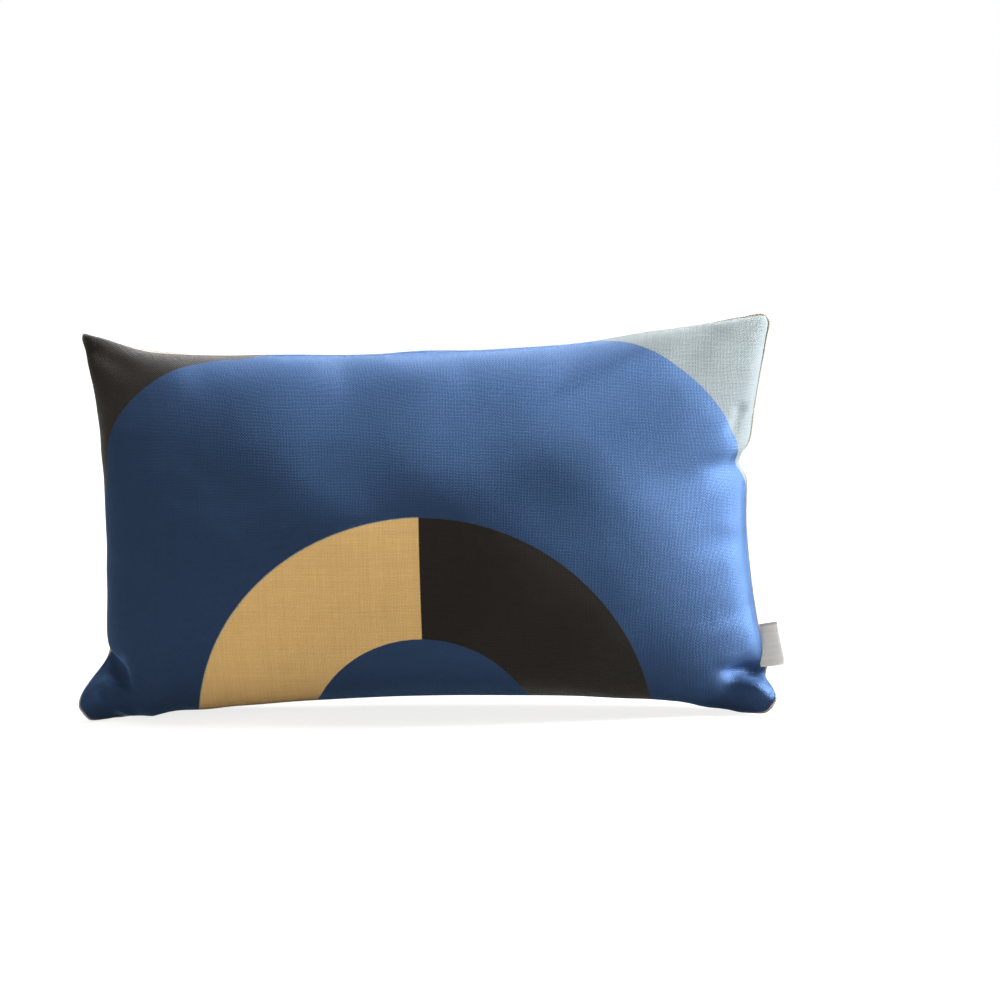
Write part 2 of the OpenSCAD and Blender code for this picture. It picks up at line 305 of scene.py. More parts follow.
class Cloth:
    """Both panels as grids of points joined by threads, the seam shared and the zip held."""

    def __init__(self, nu, nv, start):
        self.start = start.copy()
        self.p = start.copy()
        self.old = start.copy()
        self.flat = flat_pattern(nu, nv)
        rest = np.broadcast_to(self.flat, (2,) + self.flat.shape)
        self.links = []
        for kind, one, two in length_slices(nu, nv):
            d = np.linalg.norm(rest[one] - rest[two], axis=-1)[..., None]
            self.links.append((kind, one, two, d))
        self.edge = np.zeros((nv + 1, nu + 1), bool)
        self.edge[0] = self.edge[-1] = True
        self.edge[:, 0] = self.edge[:, -1] = True
        x = self.flat[..., 0]
        self.zipped = np.zeros_like(self.edge)
        self.zipped[0] = np.abs(x[0]) < ZIP_HALF + 2
        self.seam = self.edge & ~self.zipped
        self.seam_goal = None
        self.trees = [form_tree(FRONT), form_tree(BACK)]
        self.near = None

    def find_near(self):
        at = np.empty_like(self.p)
        normal = np.empty_like(self.p)
        for side in (FRONT, BACK):
            find = self.trees[side].find_nearest
            flat_at, flat_n = at[side].reshape(-1, 3), normal[side].reshape(-1, 3)
            for k, q in enumerate(self.p[side].reshape(-1, 3)):
                hit, nrm, _, _ = find(q)
                flat_at[k], flat_n[k] = hit, nrm
        self.near = (at, normal)

    def step(self, pressure, bend):
        """One step: pressure pushes out, the threads keep their length, the form holds."""
        p = self.p
        velocity = (p - self.old) * DAMP
        self.old = p.copy()
        p = p + velocity + pressure * normals(p)
        stiff = {"warp": (STRETCH, SQUEEZE), "weft": (STRETCH, SQUEEZE),
                 "shear": (SHEAR, SHEAR * 0.5)}
        for _ in range(PASSES):
            for kind, one, two, rest in self.links:
                d = p[two] - p[one]
                length = np.maximum(np.linalg.norm(d, axis=-1, keepdims=True), 1e-9)
                pull, push = stiff[kind]
                off = (length - rest) / length
                d *= np.where(off > 0, pull, push) * off * 0.5
                p[one] += d
                p[two] -= d
            c = p[:, :, :-2] - 2 * p[:, :, 1:-1] + p[:, :, 2:]
            p[:, :, 1:-1] += 2 * bend * c
            p[:, :, :-2] -= bend * c
            p[:, :, 2:] -= bend * c
            c = p[:, :-2] - 2 * p[:, 1:-1] + p[:, 2:]
            p[:, 1:-1] += 2 * bend * c
            p[:, :-2] -= bend * c
            p[:, 2:] -= bend * c
            middle = (p[FRONT] + p[BACK]) / 2
            for side in (FRONT, BACK):
                p[side][self.seam] = middle[self.seam]
        at, normal = self.near
        off = ((p - at) * normal).sum(-1, keepdims=True)
        move = np.where(off > BAND, BAND - off, np.where(off < -BAND, -BAND - off, 0.0))
        p = p + 0.7 * move * normal
        goal, weight = self.seam_goal
        p = p + weight[None, ..., None] * (goal - p)
        self.limit(p)
        self.p = p

    def limit(self, p):
        p[..., 2] = np.maximum(p[..., 2], GROUND)
        for side in (FRONT, BACK):
            p[side][self.zipped, 1] = SEAM_Y + SIGN[side] * ZIP_GAP
            p[side][self.zipped, 2] = SEAM_RISE


def upsample(p):
    """Twice as many cells, by cubic interpolation along both directions."""
    def along(q, axis):
        q = np.moveaxis(q, axis, 0)
        n = q.shape[0]
        out = np.empty((2 * n - 1,) + q.shape[1:])
        out[::2] = q
        ext = np.concatenate([2 * q[:1] - q[1:2], q, 2 * q[-1:] - q[-2:-1]])
        out[1::2] = (9 * (ext[1:-2] + ext[2:-1]) - ext[:-3] - ext[3:]) / 16
        return np.moveaxis(out, 0, axis)
    return along(along(p, 1), 2)


def goals(cloth):
    """Where the seam is held, and how firmly: at the ears, along the zip, lightly elsewhere."""
    weight = np.zeros(cloth.edge.shape)
    weight[cloth.edge] = 0.06
    x, z = cloth.flat[..., 0], cloth.flat[..., 1]
    tip = np.exp(-((np.abs(x) - PANEL_W / 2) ** 2 + (np.abs(z) - PANEL_H / 2) ** 2) / 18 ** 2)
    weight = np.where(cloth.edge, np.maximum(weight, 0.7 * tip), weight)
    kink = bump(z, 42.0, 14.0) * (x > 200)
    weight = np.where(cloth.edge, np.maximum(weight, 0.3 * kink), weight)
    weight[cloth.zipped] = 0.5
    return cloth.start, weight


def run_cloth():
    nu, nv = 60, 36
    cloth = Cloth(nu, nv, start_form(nu, nv))
    cloth.seam_goal = goals(cloth)
    # A slight uneven start lets the cloth buckle into its own folds.
    fx, fz = cloth.flat[..., 0], cloth.flat[..., 1]
    wave = (np.sin(fx / 23 + 1.3 * np.sin(fz / 31)) + np.sin(fz / 19 + 2.1 + np.sin(fx / 41)))
    cloth.p += 0.5 * wave[None, ..., None] * normals(cloth.p)
    cloth.limit(cloth.p)
    for k in range(260):
        if k % 40 == 0:
            cloth.find_near()
        cloth.step(pressure=0.02, bend=0.01)
    fine = Cloth(nu * 2, nv * 2, upsample(cloth.p))
    fine.start = upsample(cloth.start)
    fine.seam_goal = goals(fine)
    fine.limit(fine.p)
    for k in range(160):
        if k % 40 == 0:
            fine.find_near()
        fine.step(pressure=0.01, bend=0.02)
    return fine


cloth = run_cloth()


# ---------------------------------------------------------------- meshes
def add_mesh(name, points_mm, faces, material, uv_mm=None, smooth_shade=True):
    me = bpy.data.meshes.new(name)
    me.from_pydata((np.asarray(points_mm) * MM).tolist(), [], faces)
    if smooth_shade:
        me.shade_smooth()
    ob = bpy.data.objects.new(name, me)
    bpy.context.scene.collection.objects.link(ob)
    if uv_mm is not None:
        layer = me.uv_layers.new(name="pattern")
        loops = np.empty(len(me.loops), np.int32)
        me.loops.foreach_get("vertex_index", loops)
        layer.data.foreach_set("uv", (np.asarray(uv_mm)[loops] * MM).astype(np.float32).ravel())
    me.materials.append(material)
    return ob


def grid_quads(rows, cols, first=0, flip=False):
    idx = first + np.arange(rows * cols).reshape(rows, cols)
    q = np.stack([idx[:-1, :-1], idx[:-1, 1:], idx[1:, 1:], idx[1:, :-1]], -1).reshape(-1, 4)
    return (q[:, ::-1] if flip else q).tolist()


def rim_indices(rows, cols, first=0):
    """The edge of a grid once round: the bottom, the right, the top backwards, the left down."""
    idx = first + np.arange(rows * cols).reshape(rows, cols)
    return np.concatenate([idx[0, :-1], idx[:-1, -1], idx[-1, :0:-1], idx[:0:-1, 0]])


def ring_quads(one, two, flip=False):
    q = np.stack([one, np.roll(one, -1), np.roll(two, -1), two], -1)
    return (q[:, ::-1] if flip else q).tolist()


def sample(grid, j, i):
    """A grid's value at fractional rows and columns."""
    rows, cols = grid.shape[:2]
    j, i = np.clip(j, 0, rows - 1.0001), np.clip(i, 0, cols - 1.0001)
    j0, i0 = j.astype(int), i.astype(int)
    fj, fi = (j - j0)[..., None], (i - i0)[..., None]
    return ((grid[j0, i0] * (1 - fi) + grid[j0, i0 + 1] * fi) * (1 - fj)
            + (grid[j0 + 1, i0] * (1 - fi) + grid[j0 + 1, i0 + 1] * fi) * fj)


def soften(loop, times):
    for _ in range(times):
        loop = 0.25 * np.roll(loop, 1, 0) + 0.5 * loop + 0.25 * np.roll(loop, -1, 0)
    return loop


# Creases pressed into the stuffed cloth at the two feet: side, ends (x, z), half width, depth.
CREASES = (
    (FRONT, (246, 28), (208, 33), 4.0, -4.5),
    (FRONT, (246, 19), (216, 26), 5.5, 4.0),
    (FRONT, (248, 6), (205, 12), 6.0, -2.0),
    (FRONT, (-232, 20), (-203, 7), 4.0, -3.0),
    (FRONT, (-228, 28), (-205, 17), 4.0, 2.0),
    (FRONT, (-220, 42), (-214, 27), 7.0, -4.0),
    (BACK, (252, 27), (214, 36), 5.0, -4.0),
    (BACK, (-250, 30), (-210, 40), 6.0, -4.0),
    (FRONT, (226, 214), (219, 198), 4.5, -3.0),
)


def creased(p):
    """The cloth with its creases, its blunter ears and the notch above the right foot."""
    out = p.copy()
    n = normals(p)
    off_rim = (smooth((PANEL_W / 2 - np.abs(flat[..., 0])) / 14.0)
               * smooth((PANEL_H / 2 - np.abs(flat[..., 1])) / 12.0))
    for side, one, two, wide, depth in CREASES:
        x, z = p[side][..., 0], p[side][..., 2]
        along, away = from_line(x, z, one, two)
        share = np.exp(-((away / wide) ** 2)) * (1 - 0.8 * along ** 2) * off_rim
        out[side] += (depth * share)[..., None] * n[side]
    for x, z, inward in ((-250, 278, 2.2), (250, 282, 3.6), (-249, 6, 2.5), (250, 7, 2.0)):
        tip = np.exp(-(np.hypot(p[..., 0] - x, p[..., 2] - z) / 5.5) ** 2) * inward
        out[..., 0] -= np.sign(x) * tip
        out[..., 2] += (0.8 if z < 100 else -0.8) * tip
    notch = 1.8 * bump(p[..., 2], 27.0, 4.0) * smooth((p[..., 0] - 222) / 22)
    out[..., 0] -= notch
    rim = cloth_rim(p)
    middle = (out[FRONT] + out[BACK]) / 2
    for side in (FRONT, BACK):
        out[side][rim] = middle[rim]
    return out


def cloth_rim(p):
    """The joined part of the edge: all of it but the zip."""
    rim = np.zeros(p.shape[1:3], bool)
    rim[-1] = rim[:, 0] = rim[:, -1] = True
    rim[0] = np.abs(flat[0, :, 0]) >= ZIP_HALF + 2
    return rim


fine = upsample(cloth.p)
flat = upsample(np.stack([cloth.flat, cloth.flat]))[0]
fine = creased(fine)
# The feet settle on the floor, and the cloth beside the zip stays level with its tapes.
low_down = 1 - arched(fine[..., 0])
past_zip = np.maximum(np.abs(flat[..., 0]) - ZIP_HALF - 10, 0)
low_down *= smooth(np.hypot(past_zip, flat[..., 1] + PANEL_H / 2) / 16.0)
fine[..., 2] -= 5.5 * low_down * np.exp(-((fine[..., 2] / 16.0) ** 2))
fine[..., 2] = np.maximum(fine[..., 2], 0.0)
ROWS, COLS = fine.shape[1:3]
CELL = PANEL_W / (COLS - 1)
FABRIC_T = 0.9
rim_j, rim_i = np.divmod(rim_indices(ROWS, COLS), COLS)
rim_x, rim_z = flat[rim_j, rim_i].T
inward_j = soften(((rim_j == 0) * 1.0 - (rim_j == ROWS - 1) * 1.0)[:, None], 3)[:, 0]
inward_i = soften(((rim_i == 0) * 1.0 - (rim_i == COLS - 1) * 1.0)[:, None], 3)[:, 0]
on_zip = (rim_j == 0) & (np.abs(rim_x) < ZIP_HALF + 4)

# How far the back panel rolls over the seam to the front, and the groove beside it.
up_right = (rim_i > COLS // 2) & (rim_z > -98)
roll = np.where(rim_j == ROWS - 1, smooth((rim_x - 70) / 110), smooth((rim_z + 98) / 14))
roll = soften(np.where(up_right, roll, 0.0)[:, None], 4)[:, 0]
side_bulge = 1.7 * bump(rim_z, 70, 34) - 0.9 * bump(rim_z, 38, 10) + 0.9 * bump(rim_z, 12, 22)
bead = roll * (1.3 + np.where(rim_j == ROWS - 1, 0, side_bulge)) + 0.12
groove = np.where(on_zip, 0.02, 0.35 + 0.85 * roll + 0.5 * roll * bump(rim_z, 70, 30))


def at_depth(side, deep):
    """Points on a panel's surface, deep millimetres of cloth inside its rim."""
    return sample(fine[side], rim_j + inward_j * deep / CELL, rim_i + inward_i * deep / CELL)


def flat_at(deep):
    return sample(flat, rim_j + inward_j * deep / CELL, rim_i + inward_i * deep / CELL)


face_normal = normals(fine)


def normal_at(side, deep):
    n = sample(face_normal[side], rim_j + inward_j * deep / CELL, rim_i + inward_i * deep / CELL)
    return n / np.linalg.norm(n, axis=-1, keepdims=True)


def shifted_grid(side, amount):
    """The panel's grid drawn in from its rim by amount (one value for each rim point)."""
    j, i = np.meshgrid(np.arange(ROWS) * 1.0, np.arange(COLS) * 1.0, indexing="ij")
    edge = np.zeros((ROWS, COLS))
    edge[rim_j, rim_i] = amount / CELL

    def fade(cells):
        return 1 - smooth(cells * CELL / 22.0)

    di = edge[:, :1] * fade(i) - edge[:, -1:] * fade(COLS - 1 - i)
    dj = edge[:1] * fade(j) - edge[-1:] * fade(ROWS - 1 - j)
    return sample(fine[side], j + dj, i + di), sample(flat, j + dj, i + di)


def panel(name, side, grid, grid_flat, rings, material):
    """A closed shell of cloth: the grid, the rings from its rim into the seam, and its inside."""
    count = ROWS * COLS
    outward = normals(np.stack([grid, grid]))[side]
    inside = grid - FABRIC_T * outward
    rim = rim_indices(ROWS, COLS)
    points, uvs = [grid.reshape(-1, 3)], [grid_flat.reshape(-1, 2)]
    faces = grid_quads(ROWS, COLS, 0, side == BACK)
    last, first = rim, count
    for ring, ring_flat in rings:
        points.append(ring)
        uvs.append(ring_flat)
        idx = first + np.arange(len(rim))
        faces += ring_quads(last, idx, side == FRONT)
        last, first = idx, first + len(rim)
    points.append(inside.reshape(-1, 3))
    uvs.append(grid_flat.reshape(-1, 2))
    faces += ring_quads(last, rim_indices(ROWS, COLS, first), side == FRONT)
    faces += grid_quads(ROWS, COLS, first, side == FRONT)
    return add_mesh(name, np.concatenate(points), faces, material, np.concatenate(uvs))


# ---------------------------------------------------------------- materials
class Nodes:
    """Short names for building a node tree."""

    def __init__(self, name):
        self.material = bpy.data.materials.new(name)
        self.material.use_nodes = True
        self.tree = self.material.node_tree
        self.shader = self.tree.nodes["Principled BSDF"]
        self.output = self.tree.nodes["Material Output"]

    def put(self, socket, value):
        if isinstance(value, bpy.types.NodeSocket):
            self.tree.links.new(value, socket)
        elif isinstance(value, (tuple, list)) and len(value) == 3 and socket.type == "RGBA":
            socket.default_value = (*value, 1)
        else:
            socket.default_value = value

    def node(self, kind, **inputs):
        """A node with its inputs set by name, or by number as i_0, i_1."""
        n = self.tree.nodes.new(kind)
        for key, value in inputs.items():
            self.put(n.inputs[int(key[2:]) if key.startswith("i_") else key], value)
        return n

    def math(self, op, a, b=0.0, c=0.0):
        n = self.tree.nodes.new("ShaderNodeMath")
        n.operation = op
        for socket, value in zip(n.inputs, (a, b, c)):
            self.put(socket, value)
        return n.outputs[0]

    def ramp(self, value, low, high, out_low=0.0, out_high=1.0):
        n = self.tree.nodes.new("ShaderNodeMapRange")
        n.interpolation_type = "SMOOTHSTEP"
        for key, v in (("Value", value), ("From Min", low), ("From Max", high),
                       ("To Min", out_low), ("To Max", out_high)):
            self.put(n.inputs[key], v)
        return n.outputs[0]

    def mix(self, share, a, b, blend="MIX"):
        n = self.tree.nodes.new("ShaderNodeMix")
        n.data_type, n.blend_type = "RGBA", blend
        self.put(n.inputs[0], share)
        self.put(n.inputs[6], a)
        self.put(n.inputs[7], b)
        return n.outputs[2]

    def noise(self, vector, detail=2.0):
        n = self.node("ShaderNodeTexNoise", Vector=vector, Scale=1.0, Detail=detail, Roughness=0.5)
        return n.outputs[0]

    def white(self, value):
        n = self.tree.nodes.new("ShaderNodeTexWhiteNoise")
        n.noise_dimensions = "1D"
        self.put(n.inputs["W"], value)
        return n.outputs[0]

    def scaled(self, vector, x, y, z=1.0):
        n = self.tree.nodes.new("ShaderNodeMapping")
        self.put(n.inputs["Vector"], vector)
        n.inputs["Scale"].default_value = (x, y, z)
        return n.outputs[0]

    def bump(self, height, strength, distance):
        n = self.node("ShaderNodeBump", Strength=strength, Distance=distance, Height=height)
        return n.outputs[0]

    def finish(self, colour, roughness, normal, sheen=0.0, sheen_rough=0.5, metallic=0.0,
               specular=0.5):
        sh = self.shader.inputs
        self.put(sh["Base Color"], colour)
        self.put(sh["Roughness"], roughness)
        self.put(sh["Normal"], normal)
        sh["Sheen Weight"].default_value = sheen
        sh["Sheen Roughness"].default_value = sheen_rough
        sh["Sheen Tint"].default_value = (1, 1, 1, 1)
        sh["Metallic"].default_value = metallic
        sh["Specular IOR Level"].default_value = specular
        return self.material


def srgb(r, g, b):
    return tuple(((v / 255 + 0.055) / 1.055) ** 2.4 for v in (r, g, b))


def weave(m, flat_uv, pitch):
    """Plain woven yarns, some of them thicker: height, shade and which way each yarn runs."""
    xyz = m.node("ShaderNodeSeparateXYZ", Vector=flat_uv)
    drift = m.math("SUBTRACT", m.noise(m.scaled(flat_uv, 60, 60), 1.0), 0.5)
    wobble = m.math("MULTIPLY", drift, 1.4)
    u = m.math("ADD", m.math("DIVIDE", xyz.outputs[0], pitch), wobble)
    v = m.math("ADD", m.math("DIVIDE", xyz.outputs[1], pitch), wobble)
    col, row = m.math("FLOOR", u), m.math("FLOOR", v)
    pi = math.pi
    warp = m.math("ABSOLUTE", m.math("SINE", m.math("MULTIPLY", u, pi)))
    weft = m.math("ABSOLUTE", m.math("SINE", m.math("MULTIPLY", v, pi)))
    # The two systems of yarn pass over one another in turn, one yarn further on at each row.
    over = m.math("SINE", m.math("MULTIPLY", m.math("ADD", u, v), pi))
    patchy = m.noise(m.scaled(flat_uv, 420, 420), 2.0)
    uneven = m.math("MULTIPLY", m.math("SUBTRACT", patchy, 0.5), 2.6)
    warp_up = m.ramp(m.math("ADD", over, uneven), -0.5, 0.5)
    weft_up = m.math("SUBTRACT", 1.0, warp_up)
    height = m.math("ADD", m.math("MULTIPLY", warp, warp_up), m.math("MULTIPLY", weft, weft_up))
    slub_w = m.noise(m.scaled(flat_uv, 900, 45), 1.0)
    slub_f = m.noise(m.scaled(flat_uv, 45, 900), 1.0)
    tone_w = m.math("ADD", m.math("MULTIPLY", m.white(col), 0.35), slub_w)
    tone_f = m.math("ADD", m.math("MULTIPLY", m.white(row), 0.35), slub_f)
    tone = m.math("ADD", m.math("MULTIPLY", tone_w, warp_up), m.math("MULTIPLY", tone_f, weft_up))
    return height, tone


def shaded(m, colour, height, tone, low, high):
    """The colour with painted shade between the yarns, and uneven from yarn to yarn."""
    shade = m.math("ADD", m.math("MULTIPLY", height, 0.34), m.math("MULTIPLY", tone, 0.42))
    return m.mix(1.0, colour, m.mix(m.ramp(shade, 0.2, 0.85), low, high), "MULTIPLY")


def flat_uv(m):
    n = m.tree.nodes.new("ShaderNodeUVMap")
    n.uv_map = "pattern"
    return n.outputs[0]


def disc(m, xyz, cx, cy, radius, soft=0.00035):
    dx = m.math("SUBTRACT", xyz.outputs[0], cx)
    dy = m.math("SUBTRACT", xyz.outputs[1], cy)
    far = m.math("SQRT", m.math("ADD", m.math("MULTIPLY", dx, dx), m.math("MULTIPLY", dy, dy)))
    return m.ramp(far, radius - soft, radius + soft, 1.0, 0.0)


BLUE = srgb(38, 51, 78)
GOLD = srgb(237, 198, 137)
CHARCOAL = srgb(37, 33, 31)
PALE = srgb(144, 155, 159)
CREAM = srgb(192, 184, 172)
HALO = srgb(214, 196, 160)

# The print's half ring, its middle a little below the bottom seam (m).
RING_X, RING_BELOW = -0.0012, 0.0052
RING_OUTER, RING_INNER = 0.1655, 0.0808


def printed_fabric():
    m = Nodes("printed_fabric")
    uv = flat_uv(m)
    # The print's edges follow the yarns a little.
    ragged = m.node("ShaderNodeTexNoise", Vector=uv, Scale=700.0, Detail=1.0)
    shift = m.node("ShaderNodeVectorMath", i_0=ragged.outputs[1], i_1=(0.5, 0.5, 0.5))
    shift.operation = "SUBTRACT"
    small = m.node("ShaderNodeVectorMath", i_0=shift.outputs[0])
    small.operation = "SCALE"
    small.inputs["Scale"].default_value = 0.0006
    drawn = m.node("ShaderNodeVectorMath", i_0=uv, i_1=small.outputs[0])
    xyz = m.node("ShaderNodeSeparateXYZ", Vector=drawn.outputs[0])
    x, y = xyz.outputs[0], xyz.outputs[1]
    half_w, half_h = PANEL_W / 2 * MM, PANEL_H / 2 * MM

    def corner(cx, cy, radius, sign):
        """1 outside a corner's arc, on the side of the corner itself."""
        outside = m.math("SUBTRACT", 1.0, disc(m, xyz, cx, cy, radius))
        out_x = m.math("MULTIPLY", m.math("SUBTRACT", x, cx), sign)
        out_y = m.math("SUBTRACT", y, cy)
        past = m.math("MULTIPLY", m.math("GREATER_THAN", out_x, 0.0),
                      m.math("GREATER_THAN", out_y, 0.0))
        # Beyond the arc's ends its line runs out to the seams.
        side_strip = half_w - abs(cx) - radius
        top_strip = half_h - cy - radius
        to_side = m.math("ADD", out_x, m.ramp(out_y, -0.05, 0.0, 0.0, side_strip))
        to_top = m.math("ADD", out_y, m.ramp(out_x, -0.06, 0.0, 0.0, top_strip))
        below = m.math("GREATER_THAN", to_side, half_w - abs(cx))
        beside = m.math("GREATER_THAN", to_top, half_h - cy)
        below = m.math("MULTIPLY", below, m.math("LESS_THAN", out_y, 0.0))
        beside = m.math("MULTIPLY", beside, m.math("LESS_THAN", out_x, 0.0))
        return m.math("MAXIMUM", m.math("MULTIPLY", outside, past),
                      m.math("MAXIMUM", below, beside))

    left = corner(-half_w + 0.120, half_h - 0.114, 0.096, -1.0)
    right = corner(half_w - 0.196, half_h - 0.203, 0.2035, 1.0)
    middle = (RING_X, -half_h - RING_BELOW)
    ring = m.math("SUBTRACT", disc(m, xyz, *middle, RING_OUTER), disc(m, xyz, *middle, RING_INNER))
    halo = m.math("SUBTRACT", disc(m, xyz, *middle, RING_OUTER + 0.0006),
                  disc(m, xyz, *middle, RING_OUTER - 0.0006))
    gold_side = m.ramp(x, 0.0009, 0.0015, 1.0, 0.0)
    fade = m.noise(m.scaled(uv, 14, 9), 2.0)
    worn_blue = tuple(c * f for c, f in zip(BLUE, (0.93, 1.0, 0.98)))
    blue = m.mix(m.ramp(fade, 0.3, 0.7), BLUE, worn_blue)
    colour = m.mix(left, blue, CHARCOAL)
    colour = m.mix(right, colour, PALE)
    colour = m.mix(ring, colour, m.mix(gold_side, CHARCOAL, GOLD))
    # The gold's edge prints a little paler.
    colour = m.mix(m.math("MULTIPLY", halo, m.math("MULTIPLY", gold_side, 0.7)), colour, HALO)
    height, tone = weave(m, uv, 0.00105)
    colour = shaded(m, colour, height, tone, (0.78, 0.78, 0.79), (1.12, 1.12, 1.11))
    normal = m.bump(m.math("ADD", height, m.math("MULTIPLY", tone, 0.8)), 0.7, 0.0003)
    rough = m.ramp(tone, 0.3, 1.1, 0.34, 0.5)
    # Dyed fibres shine in their own colour.
    shine = m.mix(left, (0.22, 0.46, 1.0), (0.7, 0.7, 0.7))
    shine = m.mix(right, shine, (0.25, 0.27, 0.28))
    shine = m.mix(ring, shine, m.mix(gold_side, (0.6, 0.6, 0.6), (0.4, 0.34, 0.24)))
    charcoal_side = m.math("SUBTRACT", 1.0, gold_side)
    dull = m.math("MAXIMUM", right, m.math("MULTIPLY", ring, gold_side))
    dark = m.math("MAXIMUM", left, m.math("MULTIPLY", ring, charcoal_side))
    gloss = m.math("SUBTRACT", m.math("SUBTRACT", 1.0, m.math("MULTIPLY", dull, 0.93)),
                   m.math("MULTIPLY", dark, 0.85))
    m.finish(colour, rough, normal, sheen=0.6, sheen_rough=0.42)
    m.put(m.shader.inputs["Sheen Tint"], shine)
    m.put(m.shader.inputs["Specular Tint"], shine)
    m.put(m.shader.inputs["Specular IOR Level"], gloss)
    m.shader.inputs["IOR"].default_value = 1.9
    return m.material


def plain_fabric(name, base, pitch=0.00125, sheen=0.35):
    m = Nodes(name)
    uv = flat_uv(m)
    height, tone = weave(m, uv, pitch)
    cloud = m.noise(m.scaled(uv, 11, 11), 3.0)
    colour = m.mix(m.ramp(cloud, 0.3, 0.7), base, tuple(c * 0.93 for c in base))
    colour = shaded(m, colour, height, tone, (0.72, 0.71, 0.7), (1.1, 1.1, 1.1))
    normal = m.bump(m.math("ADD", height, m.math("MULTIPLY", tone, 0.6)), 0.5, 0.00035)
    rough = m.ramp(tone, 0.3, 1.1, 0.75, 0.92)
    return m.finish(colour, rough, normal, sheen=sheen, sheen_rough=0.4, specular=0.25)


def object_cloth(name, base, pitch=0.0006):
    """Cloth on a piece that keeps its CAD mesh: the weave follows its object coordinates."""
    m = Nodes(name)
    at = m.node("ShaderNodeTexCoord").outputs["Object"]
    xyz = m.node("ShaderNodeSeparateXYZ", Vector=at)
    rib = m.math("ABSOLUTE", m.math("SINE", m.math("MULTIPLY", xyz.outputs[0], math.pi / pitch)))
    fibre = m.noise(m.scaled(at, 900, 900, 900), 2.0)
    height = m.math("ADD", rib, m.math("MULTIPLY", fibre, 0.5))
    # Painted shade in the grooves between the ribs darkens the colour; the fibre noise makes it
    # uneven too.
    colour = m.mix(m.ramp(height, 0.2, 1.3), tuple(c * 0.78 for c in base), base)
    return m.finish(colour, m.ramp(fibre, 0.3, 0.7, 0.7, 0.9), m.bump(height, 0.4, 0.0002),
                    sheen=0.2, specular=0.3)


def enamel(name, base, metallic=0.0, rough=0.3):
    """A hard smooth skin, slightly worn: enamel, nylon or, with metallic, bare metal."""
    m = Nodes(name)
    at = m.node("ShaderNodeTexCoord").outputs["Object"]
    fine_grain = m.noise(m.scaled(at, 1500, 1500, 1500), 3.0)
    wear = m.noise(m.scaled(at, 260, 260, 260), 4.0)
    colour = m.mix(m.ramp(wear, 0.45, 0.7), base, tuple(c * 0.8 for c in base))
    return m.finish(colour, m.ramp(wear, 0.3, 0.7, rough, rough + 0.18),
                    m.bump(fine_grain, 0.12, 0.0001), metallic=metallic)


MAT_PRINT = printed_fabric()
MAT_PLAIN = plain_fabric("plain_fabric", CREAM)
MAT_CASING = plain_fabric("insert_casing", srgb(244, 243, 238), 0.0005, 0.1)
MAT_THREAD = object_cloth("thread", srgb(226, 218, 204), 0.0011)
MAT_TAPE = object_cloth("zip_tape", srgb(228, 220, 206))
MAT_COIL = enamel("zip_coil", srgb(236, 229, 214), rough=0.28)
MAT_METAL = enamel("zip_metal", srgb(196, 196, 192), metallic=1.0, rough=0.3)
MAT_ENAMEL = enamel("zip_enamel", srgb(222, 214, 200), rough=0.26)
MAT_RIBBON = plain_fabric("label_ribbon", srgb(222, 222, 224), 0.0005, 0.15)
MAT_CARE = object_cloth("care_ribbon", srgb(238, 238, 236), 0.0005)
MAT_FIBRE = object_cloth("filling", srgb(245, 245, 243), 0.004)

# ---------------------------------------------------------------- the cover
front_grid, front_flat = shifted_grid(FRONT, bead + groove)
sink = np.where(on_zip, 0.35, 1.0)[:, None]
tuck = normal_at(FRONT, 3.0)
front_rings = []
for back_off, deep in ((0.30, 0.45), (0.55, 1.3)):
    where = bead + groove * (1 - back_off)
    front_rings.append((at_depth(FRONT, where) - tuck * deep * sink, flat_at(where)))
front = panel("cover_front_cloth", FRONT, front_grid, front_flat, front_rings, MAT_PRINT)

back_grid, back_flat = shifted_grid(BACK, np.zeros(len(rim_j)))
zip_up = np.array([0.0, 0.0, 1.0])
rim_flat = flat_at(0.0 * bead)
back_rings = []
for share in (0.18, 0.4, 0.62, 0.82, 1.0):
    proud = 0.42 * bead * math.sin(math.pi * share) ** 0.7
    ring = at_depth(FRONT, bead * share) + tuck * proud[:, None]
    lip = fine[BACK][rim_j, rim_i] + zip_up * 0.25 * share
    back_rings.append((np.where(on_zip[:, None], lip, ring), rim_flat))
ring = at_depth(FRONT, bead + 0.1) - tuck * 1.5
lip = fine[BACK][rim_j, rim_i] + zip_up * 0.6
back_rings.append((np.where(on_zip[:, None], lip, ring), rim_flat))
back = panel("cover_back_cloth", BACK, back_grid, back_flat, back_rings, MAT_PLAIN)
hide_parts("cover_front")
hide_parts("cover_back")

# ---------------------------------------------------------------- the insert
FORM_ROWS, FORM_COLS = 44, 72


def form_grid(side, inset, slim, ground):
    """A grid on a smaller form inside the cover."""
    a, b = np.meshgrid(crowded_to_ends(FORM_COLS), crowded_to_ends(FORM_ROWS))
    return fill_form(side, a, b, inset, slim, (16.0, 30.0), ground)


def casing(name, side):
    """One panel of the insert's casing, as a thin closed shell."""
    rows, cols = FORM_ROWS, FORM_COLS
    outer = form_grid(side, 18.0, 9.0, 5.0)
    inner = form_grid(side, 18.5, 9.6, 5.6)
    count = rows * cols
    faces = grid_quads(rows, cols, 0, side == BACK) + grid_quads(rows, cols, count, side == FRONT)
    faces += ring_quads(rim_indices(rows, cols), rim_indices(rows, cols, count), side == FRONT)
    x, z = np.meshgrid(np.linspace(-240, 240, cols), np.linspace(-140, 140, rows))
    uv = np.stack([x, z], -1).reshape(-1, 2)
    return add_mesh(name, np.concatenate([outer.reshape(-1, 3), inner.reshape(-1, 3)]), faces,
                    MAT_CASING, np.concatenate([uv, uv]))


insert_front = casing("insert_front_cloth", FRONT)
insert_back = casing("insert_back_cloth", BACK)
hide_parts("insert_casing_front")
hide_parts("insert_casing_back")


